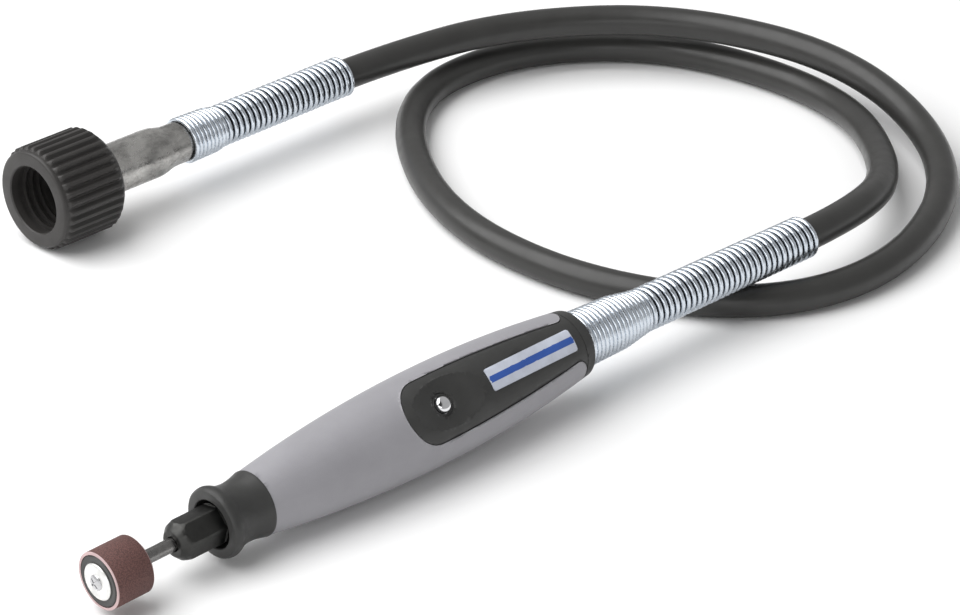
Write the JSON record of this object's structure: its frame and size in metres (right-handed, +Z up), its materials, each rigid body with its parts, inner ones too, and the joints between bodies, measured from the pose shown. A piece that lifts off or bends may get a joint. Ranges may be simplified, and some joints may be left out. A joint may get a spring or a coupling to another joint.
{
  "type": "rotary tool flex shaft",
  "caption": "Slim handpiece with collet nose and sanding drum on a long flexible drive shaft, guard springs at both ends and a ribbed coupling nut for the motor.",
  "frame": {"origin": "on the floor, below the middle of the handpiece's length (sanding drum's screw to the end of its guard spring)", "axes": "+X along the handpiece from the drum to the guard spring, +Z up, +Y to the coiled shaft's side; the handpiece's own axis climbs 1.8 degrees towards +X"},
  "size_m": [0.3017, 0.1718, 0.0264],
  "materials": {
    "grit": "coarse reddish-brown abrasive grain on a cloth-backed band",
    "drum_rubber": "dull black rubber",
    "steel": "turned steel, satin",
    "washer_steel": "bright pressed steel",
    "black_steel": "black oxide steel, satin",
    "black_plastic": "black moulded plastic, fine satin texture",
    "grey_grip": "mid-grey soft-touch moulding",
    "label": "pale plate with a plain blue stripe and no lettering",
    "chrome": "polished",
    "spring_wire": "zinc-plated drawn wire",
    "nickel": "nickel-plated, slightly worn",
    "sheath_rubber": "black rubber hose, satin",
    "bronze": "sintered bronze",
    "nut_plastic": "black glass-filled plastic, moulded ribs"
  },
  "bodies": {
    "handpiece": {"handle_core": "black_plastic", "grip_sleeve": "grey_grip", "nose_collar": "black_plastic", "label_plate": "label", "lock_pin_bezel": "black_plastic", "lock_pin_spring": "spring_wire", "tail_bush": "steel", "rear_guard_spring": "spring_wire", "front_bearing_outer": "steel", "rear_bearing_outer": "steel", "flex_sheath": "sheath_rubber", "sheath_liner": "steel", "flex_core": "steel", "drive_ferrule": "nickel", "drive_guard_spring": "spring_wire", "drive_bush": "bronze", "nut_washer": "steel"},
    "spindle": {"spindle": "steel", "front_bearing_inner": "steel", "rear_bearing_inner": "steel", "core_tip": "steel"},
    "collet_and_drum": {"collet": "steel", "drum_mandrel": "steel", "rubber_drum": "drum_rubber", "sanding_band": "grit", "drum_washer": "washer_steel", "drum_screw": "steel"},
    "collet_nut": {"collet_nut": "black_steel"},
    "front_balls": {"front_bearing_balls": "chrome"},
    "rear_balls": {"rear_bearing_balls": "chrome"},
    "lock_pin": {"lock_pin": "chrome"},
    "coupling_nut": {"coupling_nut": "nut_plastic"},
    "drive_tip": {"drive_tip": "steel"}
  },
  "joints": [
    {"name": "spindle_spin", "type": "hinge", "parent": "handpiece", "child": "spindle", "pos_m": [-0.04608, 0, 0.01041], "axis": [0.9995, 0, 0.0314], "continuous": true},
    {"name": "collet_advance", "type": "slide", "parent": "spindle", "child": "collet_and_drum", "axis": [-0.9995, 0, -0.0314], "range_m": [0, 0.00112]},
    {"name": "collet_nut_turn", "type": "hinge", "parent": "collet_and_drum", "child": "collet_nut", "pos_m": [-0.07806, 0, 0.0094], "axis": [-0.9995, 0, -0.0314], "range_deg": [0, 540]},
    {"name": "front_balls_orbit", "type": "hinge", "parent": "handpiece", "child": "front_balls", "pos_m": [-0.05857, 0, 0.01001], "axis": [0.9995, 0, 0.0314], "continuous": true},
    {"name": "rear_balls_orbit", "type": "hinge", "parent": "handpiece", "child": "rear_balls", "pos_m": [0.00739, 0, 0.01209], "axis": [0.9995, 0, 0.0314], "continuous": true},
    {"name": "lock_pin_press", "type": "slide", "parent": "handpiece", "child": "lock_pin", "axis": [0.0214, 0.7314, -0.6817], "range_m": [0, 0.0018], "stiffness_N_per_m": 300, "springref_m": -0.0015, "deforming": ["lock_pin_spring"]},
    {"name": "coupling_nut_spin", "type": "hinge", "parent": "handpiece", "child": "coupling_nut", "pos_m": [-0.0036, 0.14113, 0.0132], "axis": [0.9999, 0.014, 0], "continuous": true},
    {"name": "drive_tip_spin", "type": "hinge", "parent": "handpiece", "child": "drive_tip", "pos_m": [0.0053, 0.14125, 0.0132], "axis": [0.9999, 0.014, 0], "continuous": true}
  ],
  "couplings": [
    {"joint": "collet_advance", "follows": "collet_nut_turn", "m_per_rad": 0.00011937},
    {"joint": "front_balls_orbit", "follows": "spindle_spin", "ratio": 0.41667},
    {"joint": "rear_balls_orbit", "follows": "spindle_spin", "ratio": 0.41667},
    {"joint": "drive_tip_spin", "follows": "spindle_spin", "ratio": -1}
  ]
}
